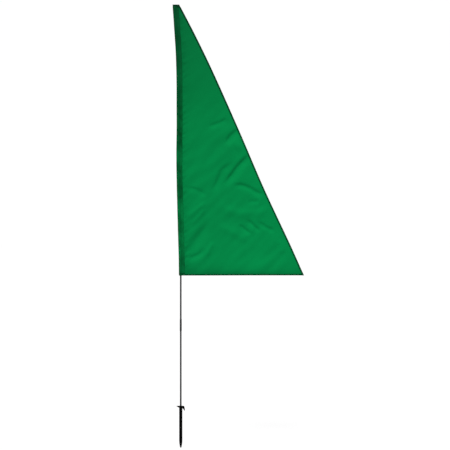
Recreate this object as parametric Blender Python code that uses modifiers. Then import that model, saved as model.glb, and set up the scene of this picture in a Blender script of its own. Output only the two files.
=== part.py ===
"""Feather flag on a sectional pole with a ground stake, for Blender 4.5.

Metres, +Z up along the pole. The origin is on the pole's axis at ground level, so the
stake is below it and the flag above. The cloth spreads from the pole towards +X and hangs
close to the XZ plane. Run it with: blender --background --python part.py
"""

import math

import bmesh
import bpy
from mathutils import Vector

# Clearances
GAP = 0.0003  # between two solids that touch or rest on each other
POLE_CLEARANCE = 0.00035  # radial, around the pole in its socket and ferrules
STEM_CLEARANCE = 0.0003  # radial, around a cap's stem in the pole's bore

# Ground stake: one moulding with a deep socket, a spur and a down-turned hook
STAKE_DIAMETER = 0.0178
STAKE_LENGTH = 0.2355  # from the rim to the tip
RIM_HEIGHT = 0.0285  # of the rim above the ground
SOCKET_DEPTH = 0.1435
SOCKET_LEAD_IN = 0.0008
POINT_LENGTH = 0.041
POINT_SHOULDER = 0.0135  # height of the blunter last stretch of the point
POINT_SHOULDER_DIAMETER = 0.0125
NOSE_DIAMETER = 0.0056
ARM_THICKNESS = 0.007  # of the spur and the hook, along Y
ARM_DROP = 0.0006  # how far their tops lie under the rim
HOOK_SHOULDER = 0.0192  # from the axis out to the hook's upper corner
HOOK_REACH = 0.0230  # from the axis, where the hook is widest
HOOK_REACH_DROP = 0.0180  # from the rim down to there
HOOK_LENGTH = 0.0275  # from the rim down to the hook's tip
HOOK_ROOT_HEIGHT = 0.0132
HOOK_TAIL_WIDTH = 0.0056
HOOK_TAIL_DROP = 0.0220  # from the rim down to where the tail begins
HOOK_TIP_WIDTH = 0.0024
HOOK_CORNER_RADIUS = 0.003
SPUR_REACH = 0.0242  # from the axis
SPUR_ROOT_HEIGHT = 0.0112
SPUR_TIP_HEIGHT = 0.0020
RIM_EDGE = 0.0006

# Pole: equal tubes joined by ferrules
SECTION_COUNT = 4
SECTION_LENGTH = 0.594
POLE_DIAMETER = 0.0095
POLE_BORE = 0.0062
FERRULE_LENGTH = 0.067
FERRULE_WALL = 0.0006
FERRULE_EDGE = 0.0003
CAP_STEM_LENGTH = 0.018
BUTT_CAP_HEIGHT = 0.003
TIP_CAP_HEIGHT = 0.006
TIP_CAP_DIAMETER = POLE_DIAMETER + 0.0009

# Flag: the sleeve is along the pole, the fly edge slopes from the head to the foot
FLAG_HOIST = 1.524
FLAG_FOOT = 0.7045
FLAG_HEAD = 0.0375
SLEEVE_WIDTH = 0.032
SLEEVE_EASE = 0.00325  # room around the pole, out to the sleeve's outside
SLEEVE_DEPTH = POLE_DIAMETER + 2 * SLEEVE_EASE
SLEEVE_SLACK = 0.0025  # how much further out the sleeve's edge is at its mouth
CLOTH_THICKNESS = 0.001
HEM_WIDTH = 0.007
HEM_THICKNESS = 0.002
MOUTH_HEM_HEIGHT = 0.012
MOUTH_HEM_THICKNESS = 0.0016
CLOSURE_HEIGHT = 0.014
CLOSURE_REST = 0.0005  # between the closed end of the sleeve and the pole's tip cap
BILLOW = 0.018  # how far the cloth swings out of the XZ plane at the fly edge
BILLOW_WAVES = 1.1  # along the height
BILLOW_SHEAR = 0.35  # of a wave, from the sleeve to the fly edge

# Sideways offset of the pole from its straight lower half: (share of the hoist, metres)
POLE_BOW = (
    (0.0, 0.0),
    (0.2, -0.0075),
    (0.4, -0.0152),
    (0.6, -0.0145),
    (0.8, -0.0185),
    (1.0, -0.0380),
)
# Sideways offset of the fly edge from the straight line between its two corners
FLY_BOW = (
    (0.0, 0.0),
    (0.10, 0.0016),
    (0.32, -0.0010),
    (0.54, 0.0090),
    (0.76, 0.0143),
    (0.89, 0.0098),
    (1.0, 0.0),
)

# Fineness of the round and swept pieces
TURNED_STEPS = 32
TUBE_BEVEL_RESOLUTION = 6  # sixteen sides
BENT_TUBE_POINTS = 9
CLOTH_COLUMNS = 10
CLOTH_ROWS = 24
SLEEVE_END_STEPS = 6  # along each round end of the sleeve's section

# Heights that follow from the sizes above
SOCKET_FLOOR = RIM_HEIGHT - SOCKET_DEPTH
BUTT_Z = SOCKET_FLOOR + GAP + BUTT_CAP_HEIGHT
POLE_TOP_Z = BUTT_Z + SECTION_COUNT * SECTION_LENGTH
CLOSURE_Z = POLE_TOP_Z + TIP_CAP_HEIGHT + CLOSURE_REST
FLAG_TOP_Z = CLOSURE_Z + CLOSURE_HEIGHT
FLAG_BOTTOM_Z = FLAG_TOP_Z - FLAG_HOIST

# name: (colour, roughness, metallic)
FINISHES = {
    "nylon": ((0.004, 0.172, 0.052), 0.75, 0.0),
    "nylon_doubled": ((0.002, 0.075, 0.024), 0.8, 0.0),
    "nylon_hem": ((0.001, 0.045, 0.014), 0.8, 0.0),
    "fibreglass": ((0.035, 0.036, 0.038), 0.38, 0.0),
    "ferrule": ((0.012, 0.012, 0.013), 0.32, 0.8),
    "cap_plastic": ((0.01, 0.01, 0.01), 0.55, 0.0),
    "stake_plastic": ((0.008, 0.008, 0.009), 0.42, 0.0),
}


def clear_scene():
    for obj in list(bpy.data.objects):
        bpy.data.objects.remove(obj, do_unlink=True)


def add_collection(name):
    collection = bpy.data.collections.new(name)
    bpy.context.scene.collection.children.link(collection)
    return collection


def finish_of(name):
    """The Principled material of this name, made the first time it is asked for."""
    if name in bpy.data.materials:
        return bpy.data.materials[name]
    colour, roughness, metallic = FINISHES[name]
    material = bpy.data.materials.new(name)
    material.use_nodes = True
    shader = material.node_tree.nodes["Principled BSDF"]
    shader.inputs["Base Color"].default_value = (*colour, 1.0)
    shader.inputs["Roughness"].default_value = roughness
    shader.inputs["Metallic"].default_value = metallic
    return material


def add_object(name, mesh, finish, collection):
    obj = bpy.data.objects.new(name, mesh)
    if finish:
        mesh.materials.append(finish_of(finish))
    collection.objects.link(obj)
    return obj


def shade_round(mesh, sharp_degrees=35):
    mesh.shade_smooth()
    mesh.set_sharp_from_angle(angle=math.radians(sharp_degrees))


def smooth_through(stations, share):
    """Value at this share of a smooth curve through the stations, level at the first one."""
    if share <= stations[0][0]:
        return stations[0][1]
    last = len(stations) - 1

    def slope(i):
        if i == 0:
            return 0.0
        before, after = stations[i - 1], stations[min(i + 1, last)]
        return (after[1] - before[1]) / (after[0] - before[0])

    i = 0
    while i < last - 1 and share > stations[i + 1][0]:
        i += 1
    (s0, v0), (s1, v1) = stations[i], stations[i + 1]
    step = s1 - s0
    t = (share - s0) / step
    rise = 3 * t**2 - 2 * t**3
    return (
        v0
        + (v1 - v0) * rise
        + slope(i) * step * (t**3 - 2 * t**2 + t)
        + slope(i + 1) * step * (t**3 - t**2)
    )


def hoist_share(z):
    return (z - FLAG_BOTTOM_Z) / FLAG_HOIST


def pole_x(z):
    """The pole's centre line: straight up to the flag's foot, then bowed."""
    return smooth_through(POLE_BOW, hoist_share(z))


def pole_direction(z):
    step = 0.002
    return Vector((pole_x(z + step) - pole_x(z - step), 0.0, 2 * step)).normalized()


def sleeve_x(z):
    """The sleeve's outer edge, which is also the flag's hoist edge."""
    slack = SLEEVE_SLACK * (1.0 - hoist_share(z)) ** 2
    return pole_x(z) - SLEEVE_DEPTH / 2 - slack


def seam_x(z):
    return sleeve_x(z) + SLEEVE_WIDTH


def fly_x(z):
    """The flag's sloping free edge."""
    share = hoist_share(z)
    foot = sleeve_x(FLAG_BOTTOM_Z) + FLAG_FOOT
    head = sleeve_x(FLAG_TOP_Z) + FLAG_HEAD
    return foot + (head - foot) * share + smooth_through(FLY_BOW, share)


def billow_y(x, z):
    """How far the cloth stands out of the XZ plane: nothing at the seam, most at the fly edge."""
    across = (x - seam_x(z)) / FLAG_FOOT
    wave = math.sin(2 * math.pi * (BILLOW_WAVES * hoist_share(z) + BILLOW_SHEAR * across))
    return BILLOW * wave * min(1.0, 2.0 * across)


def arc(centre, radius, start_degrees, end_degrees, steps):
    """Points of an arc in the XZ plane."""
    points = []
    for i in range(steps + 1):
        angle = math.radians(start_degrees + (end_degrees - start_degrees) * i / steps)
        points.append(
            (centre[0] + radius * math.cos(angle), centre[1] + radius * math.sin(angle))
        )
    return points


def turned(name, profile, finish, collection, closed=False):
    """A profile of (radius, height) points, outer side running down, screwed about Z."""
    mesh = bpy.data.meshes.new(name)
    edges = [(i, i + 1) for i in range(len(profile) - 1)]
    if closed:
        edges.append((len(profile) - 1, 0))
    mesh.from_pydata([(radius, 0.0, height) for radius, height in profile], edges, [])
    obj = add_object(name, mesh, finish, collection)
    screw = obj.modifiers.new("turn", "SCREW")
    screw.steps = TURNED_STEPS
    screw.render_steps = TURNED_STEPS
    screw.use_merge_vertices = True
    screw.merge_threshold = 0.00001
    screw.use_smooth_shade = True
    return obj


def plate(name, outline, thickness, collection):
    """An outline of (x, z) points as a plate of this thickness, centred on the XZ plane."""
    curve = bpy.data.curves.new(name, "CURVE")
    curve.dimensions = "2D"
    curve.fill_mode = "BOTH"
    curve.extrude = thickness / 2
    spline = curve.splines.new("POLY")
    spline.points.add(len(outline) - 1)
    for point, (x, z) in zip(spline.points, outline):
        point.co = (x, z, 0.0, 1.0)
    spline.use_cyclic_u = True
    drawn = bpy.data.objects.new(name, curve)
    drawn.rotation_euler = (math.radians(90), 0.0, 0.0)
    return meshed(drawn, name, None, collection)


def meshed(drawn, name, finish, collection):
    """The mesh object of a curve object, with its caps welded. The curve is removed."""
    scene_collection = bpy.context.scene.collection
    scene_collection.objects.link(drawn)
    bpy.context.view_layer.update()
    graph = bpy.context.evaluated_depsgraph_get()
    mesh = bpy.data.meshes.new_from_object(drawn.evaluated_get(graph))
    mesh.name = name
    welded = bmesh.new()
    welded.from_mesh(mesh)
    bmesh.ops.remove_doubles(welded, verts=welded.verts, dist=0.00001)
    welded.to_mesh(mesh)
    welded.free()
    place = drawn.matrix_world.copy()
    curve = drawn.data
    bpy.data.objects.remove(drawn)
    bpy.data.curves.remove(curve)
    obj = add_object(name, mesh, finish, collection)
    obj.matrix_world = place
    return obj


def solidify(obj, thickness, offset):
    """Gives a surface its thickness. An offset of -1 grows inwards, 0 both ways."""
    shell = obj.modifiers.new("wall", "SOLIDIFY")
    shell.thickness = thickness
    shell.offset = offset
    shell.use_even_offset = True


def tube(name, points, outer_radius, bore_radius, finish, collection):
    """An open tube along the points, which are relative to its origin."""
    curve = bpy.data.curves.new(name, "CURVE")
    curve.dimensions = "3D"
    curve.bevel_depth = outer_radius
    curve.bevel_resolution = TUBE_BEVEL_RESOLUTION
    spline = curve.splines.new("POLY")
    spline.points.add(len(points) - 1)
    for point, place in zip(spline.points, points):
        point.co = (*place, 1.0)
    obj = meshed(bpy.data.objects.new(name, curve), name, finish, collection)
    solidify(obj, outer_radius - bore_radius, -1.0)
    shade_round(obj.data)
    return obj


def point_at(obj, direction):
    """Turns the object's own Z axis to this direction."""
    obj.rotation_mode = "QUATERNION"
    obj.rotation_quaternion = Vector((0.0, 0.0, 1.0)).rotation_difference(direction)


def join(obj, other):
    """Unites a closed mesh with obj."""
    union = obj.modifiers.new("union", "BOOLEAN")
    union.operation = "UNION"
    union.solver = "EXACT"
    union.object = other


def hide_helper(obj):
    obj.hide_render = True
    obj.display_type = "WIRE"


def make_stake(parts, helpers):
    """The turned body with its socket, and the spur and the hook that grow from its head."""
    radius = STAKE_DIAMETER / 2
    bore = POLE_DIAMETER / 2 + POLE_CLEARANCE
    tip = RIM_HEIGHT - STAKE_LENGTH
    nose = NOSE_DIAMETER / 2
    profile = [
        (0.0, SOCKET_FLOOR),
        (bore, SOCKET_FLOOR),
        (bore, RIM_HEIGHT - SOCKET_LEAD_IN),
        (bore + SOCKET_LEAD_IN, RIM_HEIGHT),
        (radius - RIM_EDGE, RIM_HEIGHT),
        (radius, RIM_HEIGHT - RIM_EDGE),
        (radius, tip + POINT_LENGTH),
        (radius * 0.93, tip + POINT_LENGTH * 0.7),
        (POINT_SHOULDER_DIAMETER / 2, tip + POINT_SHOULDER),
        (nose * 1.5, tip + POINT_SHOULDER * 0.3),
        (nose, tip),
        (0.0, tip),
    ]
    stake = turned("ground_stake", profile, "stake_plastic", parts)
    root = (radius + bore) / 2  # inside the wall, clear of the socket
    top = RIM_HEIGHT - ARM_DROP
    hook_low = RIM_HEIGHT - HOOK_LENGTH
    corner = (HOOK_SHOULDER - HOOK_CORNER_RADIUS, top - HOOK_CORNER_RADIUS)
    hook_outline = (
        [(root, top)]
        + arc(corner, HOOK_CORNER_RADIUS, 90, 15, 5)
        + [
            (HOOK_REACH, RIM_HEIGHT - HOOK_REACH_DROP),
            (HOOK_REACH - 0.0007, hook_low),
            (HOOK_REACH - 0.0007 - HOOK_TIP_WIDTH, hook_low),
            (HOOK_REACH - HOOK_TAIL_WIDTH, RIM_HEIGHT - HOOK_TAIL_DROP),
            (radius + 0.0012, top - HOOK_ROOT_HEIGHT),
            (root, top - HOOK_ROOT_HEIGHT),
        ]
    )
    spur_outline = [
        (-root, top),
        (-root, top - SPUR_ROOT_HEIGHT),
        (-radius, top - SPUR_ROOT_HEIGHT),
        (-SPUR_REACH, top - SPUR_TIP_HEIGHT),
        (-SPUR_REACH, top),
    ]
    for name, outline in (("hook_shape", hook_outline), ("spur_shape", spur_outline)):
        arm = plate(name, outline, ARM_THICKNESS, helpers)
        hide_helper(arm)
        join(stake, arm)


def cap_profile(head_radius, head_height, stem_length):
    """A cap whose stem points down and whose domed head sits above the height 0."""
    stem = POLE_BORE / 2 - STEM_CLEARANCE
    dome = min(head_height, head_radius) * 0.6
    return [
        (0.0, head_height),
        (head_radius * 0.55, head_height - dome * 0.12),
        (head_radius * 0.85, head_height - dome * 0.45),
        (head_radius, head_height - dome),
        (head_radius, GAP),
        (stem, GAP),
        (stem, 0.001 - stem_length),
        (stem * 0.75, -stem_length),
        (0.0, -stem_length),
    ]


def make_caps(parts):
    butt = turned(
        "pole_butt_cap",
        cap_profile(POLE_DIAMETER / 2, BUTT_CAP_HEIGHT, CAP_STEM_LENGTH),
        "cap_plastic",
        parts,
    )
    butt.location = (0.0, 0.0, BUTT_Z)
    butt.rotation_euler = (math.pi, 0.0, 0.0)
    tip = turned(
        "pole_tip_cap",
        cap_profile(TIP_CAP_DIAMETER / 2, TIP_CAP_HEIGHT, CAP_STEM_LENGTH),
        "cap_plastic",
        parts,
    )
    tip.location = (pole_x(POLE_TOP_Z), 0.0, POLE_TOP_Z)
    point_at(tip, pole_direction(POLE_TOP_Z))


def make_pole(parts):
    """Equal tubes that meet end to end, each bent as the flag holds it."""
    for number in range(1, SECTION_COUNT + 1):
        low = BUTT_Z + (number - 1) * SECTION_LENGTH + GAP / 2
        high = BUTT_Z + number * SECTION_LENGTH - GAP / 2
        bent = high > FLAG_BOTTOM_Z
        steps = BENT_TUBE_POINTS - 1 if bent else 1
        points = []
        for i in range(steps + 1):
            z = low + (high - low) * i / steps
            points.append((pole_x(z) - pole_x(low), 0.0, z - low))
        section = tube(
            f"pole_section_{number}",
            points,
            POLE_DIAMETER / 2,
            POLE_BORE / 2,
            "fibreglass",
            parts,
        )
        section.location = (pole_x(low), 0.0, low)


def make_ferrules(parts):
    """A metal tube over each joint, fixed to the section below it."""
    inner = POLE_DIAMETER / 2 + POLE_CLEARANCE
    outer = inner + FERRULE_WALL
    half = FERRULE_LENGTH / 2
    profile = [
        (outer - FERRULE_EDGE, half),
        (outer, half - FERRULE_EDGE),
        (outer, -half + FERRULE_EDGE),
        (outer - FERRULE_EDGE, -half),
        (inner, -half),
        (inner, half),
    ]
    for number in range(1, SECTION_COUNT):
        joint_z = BUTT_Z + number * SECTION_LENGTH
        ferrule = turned(f"ferrule_{number}", profile, "ferrule", parts, closed=True)
        ferrule.location = (pole_x(joint_z), 0.0, joint_z)
        point_at(ferrule, pole_direction(joint_z))


def sheet(name, columns, rows, place, thickness, finish, collection):
    """A grid whose points go where place(across, up) says, with a thickness."""
    grid = bmesh.new()
    bmesh.ops.create_grid(grid, x_segments=columns, y_segments=rows, size=0.5)
    for vert in grid.verts:
        vert.co = Vector(place(vert.co.x + 0.5, vert.co.y + 0.5))
    mesh = bpy.data.meshes.new(name)
    grid.to_mesh(mesh)
    grid.free()
    shade_round(mesh)
    obj = add_object(name, mesh, finish, collection)
    solidify(obj, thickness, 0.0)
    return obj


def make_cloth(parts):
    """The panel and the two turned hems that stiffen its free edges."""
    hem_top = FLAG_BOTTOM_Z + HEM_WIDTH

    def strip(left, right, low, high):
        def place(across, up):
            z = low + (high - low) * up
            x = left(z) + (right(z) - left(z)) * across
            return x, billow_y(x, z), z

        return place

    def left_side(z):
        return seam_x(z) + GAP

    def hem_side(z):
        return fly_x(z) - HEM_WIDTH

    def right_side(z):
        return hem_side(z) - GAP

    underside = CLOSURE_Z - GAP
    sheet(
        "flag_panel",
        CLOTH_COLUMNS,
        CLOTH_ROWS,
        strip(left_side, right_side, hem_top + GAP, underside),
        CLOTH_THICKNESS,
        "nylon",
        parts,
    )
    sheet(
        "fly_hem",
        1,
        CLOTH_ROWS,
        strip(hem_side, fly_x, FLAG_BOTTOM_Z, underside),
        HEM_THICKNESS,
        "nylon_hem",
        parts,
    )
    sheet(
        "bottom_hem",
        CLOTH_COLUMNS,
        1,
        strip(left_side, right_side, FLAG_BOTTOM_Z, hem_top),
        HEM_THICKNESS,
        "nylon_hem",
        parts,
    )


def sleeve_section(width):
    """Points around a flat oval, anticlockwise from above, from its own left edge at x 0."""
    radius = SLEEVE_DEPTH / 2
    points = arc((width - radius, 0.0), radius, -90, 90, SLEEVE_END_STEPS)
    return points + arc((radius, 0.0), radius, 90, 270, SLEEVE_END_STEPS)


def oval_shell(name, low, high, rows, wall, parts):
    """A length of the sleeve: the flat oval swept up the flag's hoist edge."""
    section = sleeve_section(SLEEVE_WIDTH)
    count = len(section)
    shell = bmesh.new()
    bmesh.ops.create_grid(shell, x_segments=count, y_segments=rows, size=0.5)
    for vert in shell.verts:
        z = low + (high - low) * (vert.co.y + 0.5)
        x, y = section[round((vert.co.x + 0.5) * count) % count]
        vert.co = (sleeve_x(z) + x, y, z)
    bmesh.ops.remove_doubles(shell, verts=shell.verts, dist=0.00001)
    mesh = bpy.data.meshes.new(name)
    shell.to_mesh(mesh)
    shell.free()
    shade_round(mesh)
    obj = add_object(name, mesh, "nylon_doubled", parts)
    solidify(obj, wall, -1.0)


def make_sleeve(parts):
    """The tunnel over the pole, the turned hem at its mouth and its closed, sewn end."""
    mouth = FLAG_BOTTOM_Z + MOUTH_HEM_HEIGHT
    underside = CLOSURE_Z - GAP
    oval_shell("pole_sleeve", mouth + GAP, underside, CLOTH_ROWS, CLOTH_THICKNESS, parts)
    oval_shell("sleeve_mouth_hem", FLAG_BOTTOM_Z, mouth, 1, MOUTH_HEM_THICKNESS, parts)
    closure = plate("top_closure", sleeve_section(FLAG_HEAD), CLOSURE_HEIGHT, parts)
    closure.data.materials.append(finish_of("nylon_hem"))
    closure.rotation_euler = (0.0, 0.0, 0.0)
    closure.location = (sleeve_x(FLAG_TOP_Z), 0.0, CLOSURE_Z + CLOSURE_HEIGHT / 2)
    bevel = closure.modifiers.new("edges", "BEVEL")
    bevel.width = CLOTH_THICKNESS
    bevel.segments = 2
    bevel.limit_method = "ANGLE"
    bevel.angle_limit = math.radians(40)


def main():
    clear_scene()
    parts = add_collection("feather_flag")
    helpers = add_collection("helpers")
    helpers.hide_render = True
    make_stake(parts, helpers)
    make_caps(parts)
    make_pole(parts)
    make_ferrules(parts)
    make_sleeve(parts)
    make_cloth(parts)


main()
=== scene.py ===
import math

import bmesh
import bpy
from mathutils import Matrix, Vector, noise


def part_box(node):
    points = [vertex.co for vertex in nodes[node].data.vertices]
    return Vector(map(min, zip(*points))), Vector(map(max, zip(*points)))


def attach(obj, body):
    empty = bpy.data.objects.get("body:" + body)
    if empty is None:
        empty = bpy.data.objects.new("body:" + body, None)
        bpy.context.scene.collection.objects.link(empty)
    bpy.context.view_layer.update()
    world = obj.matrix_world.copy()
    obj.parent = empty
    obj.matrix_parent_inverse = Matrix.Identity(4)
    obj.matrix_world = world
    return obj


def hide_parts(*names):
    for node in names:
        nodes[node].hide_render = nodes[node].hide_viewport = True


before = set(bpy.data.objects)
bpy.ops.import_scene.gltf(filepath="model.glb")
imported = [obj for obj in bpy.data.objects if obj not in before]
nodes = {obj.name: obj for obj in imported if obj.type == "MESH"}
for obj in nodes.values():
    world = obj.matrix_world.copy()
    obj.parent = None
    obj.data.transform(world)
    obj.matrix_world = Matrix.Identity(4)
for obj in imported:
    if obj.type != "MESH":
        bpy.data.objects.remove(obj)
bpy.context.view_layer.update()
print("frame loaded:", len(nodes), "nodes")

# The flag's outline, as the frame has it. Shares run from its foot (0) to its head (1).
flag = {
    "low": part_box("fly_hem")[0].z,
    "high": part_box("top_closure")[1].z,
    "closure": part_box("top_closure")[0].z,
    "foot": 0.7045,
    "head": 0.0375,
    "sleeveWidth": 0.032,
    "sleeveDepth": 0.016,
    "sleeveSlack": 0.0025,
    "billow": 0.018,  # how far the fly edge swings out of the flag's plane
    "waves": 1.1,
    "shear": 0.35,
    # how far the pole and the fly edge are off their straight lines, by share
    "poleBow": ((0, 0), (0.2, -0.0075), (0.4, -0.0152), (0.6, -0.0145), (0.8, -0.0185), (1, -0.038)),
    "flyBow": (
        (0, 0), (0.1, 0.0016), (0.32, -0.001), (0.54, 0.009), (0.76, 0.0143), (0.89, 0.0098), (1, 0),
    ),
}
flag["hoist"] = flag["high"] - flag["low"]


def through(stations, share):
    # a smooth curve through the stations, level at the first one
    if share <= stations[0][0]:
        return stations[0][1]
    last = len(stations) - 1

    def slope(i):
        if i == 0:
            return 0.0
        before, after = stations[i - 1], stations[min(i + 1, last)]
        return (after[1] - before[1]) / (after[0] - before[0])

    i = 0
    while i < last - 1 and share > stations[i + 1][0]:
        i += 1
    (s0, v0), (s1, v1) = stations[i], stations[i + 1]
    step = s1 - s0
    t = (share - s0) / step
    rise = 3 * t**2 - 2 * t**3
    bend = slope(i) * step * (t**3 - 2 * t**2 + t) + slope(i + 1) * step * (t**3 - t**2)
    return v0 + (v1 - v0) * rise + bend


def flagShare(z):
    return (z - flag["low"]) / flag["hoist"]


def poleX(z):
    return through(flag["poleBow"], flagShare(z))


def sleeveX(z):
    slack = flag["sleeveSlack"] * (1 - flagShare(z)) ** 2
    return poleX(z) - flag["sleeveDepth"] / 2 - slack


def seamX(z):
    return sleeveX(z) + flag["sleeveWidth"]


def flyX(z):
    share = flagShare(z)
    foot = sleeveX(flag["low"]) + flag["foot"]
    head = sleeveX(flag["high"]) + flag["head"]
    return foot + (head - foot) * share + through(flag["flyBow"], share)


def smooth(low, high, value):
    t = min(1.0, max(0.0, (value - low) / (high - low)))
    return t * t * (3 - 2 * t)


def uneven(x, y, z):
    # the same noise for the same place, from about -1 to 1
    return noise.noise(Vector((x, y, z)))


# Creases in the cloth, as (half width of the upper flank, height towards the front, how much wider
# the lower flank is, points from left to right). Under zero is a valley.
creases = (
    (0.011, -0.0030, 1.6, ((0.155, 1.594), (0.190, 1.608), (0.232, 1.626), (0.262, 1.646))),
    (0.012, -0.0041, 2.4, ((0.254, 1.492), (0.268, 1.526), (0.290, 1.553), (0.318, 1.573), (0.338, 1.584))),
    (0.026, 0.0026, 1.0, ((0.301, 1.479), (0.320, 1.486), (0.342, 1.494))),
    (0.012, -0.0056, 2.0, ((0.244, 1.268), (0.288, 1.328), (0.323, 1.374), (0.368, 1.421), (0.394, 1.446))),
    (0.012, -0.0031, 1.6, (
        (0.162, 1.227), (0.197, 1.270), (0.218, 1.319), (0.235, 1.354), (0.274, 1.383), (0.298, 1.398),
    )),
    (0.011, -0.0023, 1.6, ((0.021, 1.249), (0.049, 1.250), (0.077, 1.246), (0.113, 1.231), (0.149, 1.205))),
    (0.011, -0.0036, 1.5, ((0.285, 1.264), (0.340, 1.268), (0.390, 1.250), (0.432, 1.226), (0.476, 1.212))),
    (0.012, -0.0018, 1.2, ((0.372, 1.173), (0.411, 1.177), (0.446, 1.175))),
    (0.024, 0.0030, 1.3, ((0.190, 1.158), (0.262, 1.128), (0.344, 1.108), (0.423, 1.113), (0.520, 1.132))),
    (0.023, -0.0048, 1.3, (
        (-0.006, 0.846), (0.034, 0.893), (0.077, 0.944), (0.115, 0.994), (0.141, 1.036), (0.157, 1.087),
    )),
    (0.013, 0.0027, 1.4, ((0.027, 1.078), (0.091, 1.133), (0.150, 1.180))),
    (0.012, 0.0024, 1.3, ((0.056, 1.040), (0.095, 1.083), (0.146, 1.145))),
    (0.012, -0.0034, 1.5, ((0.030, 0.851), (0.077, 0.868), (0.109, 0.884), (0.128, 0.920))),
    (0.013, 0.0020, 0.9, ((0.141, 0.863), (0.162, 0.910), (0.187, 0.953))),
    (0.009, -0.0030, 1.5, ((0.325, 1.050), (0.358, 1.022), (0.398, 0.990))),
    (0.009, -0.0034, 1.5, ((0.372, 1.078), (0.407, 1.044), (0.446, 1.006))),
    (0.010, -0.0026, 1.5, ((0.428, 1.068), (0.474, 1.036), (0.534, 1.008))),
    (0.022, 0.0022, 1.0, ((0.198, 1.049), (0.267, 1.016), (0.344, 0.974), (0.404, 0.946))),
    (0.016, 0.0009, 1.0, ((0.042, 0.786), (0.197, 0.784), (0.372, 0.782), (0.527, 0.784), (0.660, 0.786))),
    (0.017, 0.0017, 1.0, ((0.548, 0.968), (0.564, 0.926), (0.573, 0.877))),
)


def curveThrough(points, pieces=6):
    # points along a smooth line through these ones
    ends = [points[0], *points, points[-1]]
    line = []
    for (ax, ay), (bx, by), (cx, cy), (dx, dy) in zip(ends, ends[1:], ends[2:], ends[3:]):
        for i in range(pieces):
            t = i / pieces
            b, c, d = 2 * t**3 - 3 * t**2 + 1, t**3 - 2 * t**2 + t, t**3 - t**2
            x = b * bx + (1 - b) * cx + c * (cx - ax) / 2 + d * (dx - bx) / 2
            y = b * by + (1 - b) * cy + c * (cy - ay) / 2 + d * (dy - by) / 2
            line.append((x, y))
    return line + [points[-1]]


def layCrease(width, height, lean, points):
    # the crease's straight segments, and the box outside which it's too faint to count
    line = curveThrough(points)
    lengths = [math.dist(one, two) for one, two in zip(line, line[1:])]
    total = sum(lengths)
    segments, run = [], 0.0
    for (ax, az), (bx, bz), length in zip(line, line[1:], lengths):
        toward = ((bx - ax) / length, (bz - az) / length)
        segments.append((ax, az, *toward, length, run / total, length / total))
        run += length
    reach = 3 * width * max(1.0, lean)
    acrosses, heights = zip(*line)
    box = (min(acrosses) - reach, max(acrosses) + reach, min(heights) - reach, max(heights) + reach)
    return segments, box, width, height, lean


creaseLines = [layCrease(*crease) for crease in creases]


def creaseHeight(x, z):
    # how far the creases bring this point of the cloth forward
    total = 0.0
    for segments, (left, right, low, high), width, height, lean in creaseLines:
        if not (left < x < right and low < z < high):
            continue
        nearest, along, upper = math.inf, 0.0, True
        for ax, az, dx, dz, length, start, share in segments:
            px, pz = x - ax, z - az
            t = min(length, max(0.0, px * dx + pz * dz))
            apart = math.hypot(px - t * dx, pz - t * dz)
            if apart < nearest:
                nearest, along, upper = apart, start + share * t / length, pz * dx - px * dz > 0
        flank = width if upper else width * lean
        ends = smooth(-0.02, 0.3, along) * (1 - smooth(0.7, 1.02, along))
        total += height * ends * math.exp(-((nearest / flank) ** 2))
    return total


def billowY(x, z):
    across = (x - seamX(z)) / flag["foot"]
    wave = math.sin(2 * math.pi * (flag["waves"] * flagShare(z) + flag["shear"] * across))
    return flag["billow"] * wave * min(1.0, 2 * across)


# Puckers, which the seam's thread draws into the cloth beside it
pucker = {
    "height": 0.0028,
    "perMetre": 52,
    "lean": 30,
    "reach": 0.017,
    "clear": (0.001, 0.010),  # from the seam, where puckers begin and are full
    "creaseClear": (0.002, 0.014),  # the same for creases
}


def clothY(x, z):
    # the cloth's middle surface, without what the simulation adds
    fromSeam = x - seamX(z)
    if fromSeam <= 0:
        return 0.0
    near = smooth(*pucker["creaseClear"], fromSeam)
    drawn = uneven(z * pucker["perMetre"] - fromSeam * pucker["lean"], 1.7, 0.0) * pucker["height"]
    drawn *= smooth(*pucker["clear"], fromSeam) * math.exp(-fromSeam / pucker["reach"])
    return billowY(x, z) - creaseHeight(x, z) * near - drawn


def deselectAll():
    if bpy.context.mode != "OBJECT":
        bpy.ops.object.mode_set(mode="OBJECT")
    bpy.ops.object.select_all(action="DESELECT")
    bpy.context.view_layer.objects.active = None


def choose(piece):
    deselectAll()
    piece.select_set(True)
    bpy.context.view_layer.objects.active = piece


def applyModifiers(piece):
    choose(piece)
    for modifier in list(piece.modifiers):
        bpy.ops.object.modifier_apply(modifier=modifier.name)


def addPiece(name, shape, finish):
    # a bmesh as a piece of the object
    mesh = bpy.data.meshes.new(name)
    shape.to_mesh(mesh)
    shape.free()
    piece = bpy.data.objects.new(name, mesh)
    bpy.context.scene.collection.objects.link(piece)
    mesh.materials.append(finish)
    mesh.shade_smooth()
    return piece


def finishPiece(piece, body, slot, *stoodFor):
    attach(piece, body)
    if stoodFor:
        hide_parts(*stoodFor)
    return piece


class Wire:  # one output socket, with Python's own arithmetic
    def __init__(self, finish, socket):
        self.finish, self.socket = finish, socket

    def math(self, operation, *others):
        inputs = dict(enumerate((self, *others)))
        return self.finish.node("ShaderNodeMath", {"operation": operation}, inputs)

    def __add__(self, other):
        return self.math("ADD", other)

    def __sub__(self, other):
        return self.math("SUBTRACT", other)

    def __rsub__(self, other):
        return self.finish.node("ShaderNodeMath", {"operation": "SUBTRACT"}, {0: other, 1: self})

    def __mul__(self, other):
        return self.math("MULTIPLY", other)

    def __truediv__(self, other):
        return self.math("DIVIDE", other)

    def __abs__(self):
        return self.math("ABSOLUTE")

    __radd__ = __add__


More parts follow.
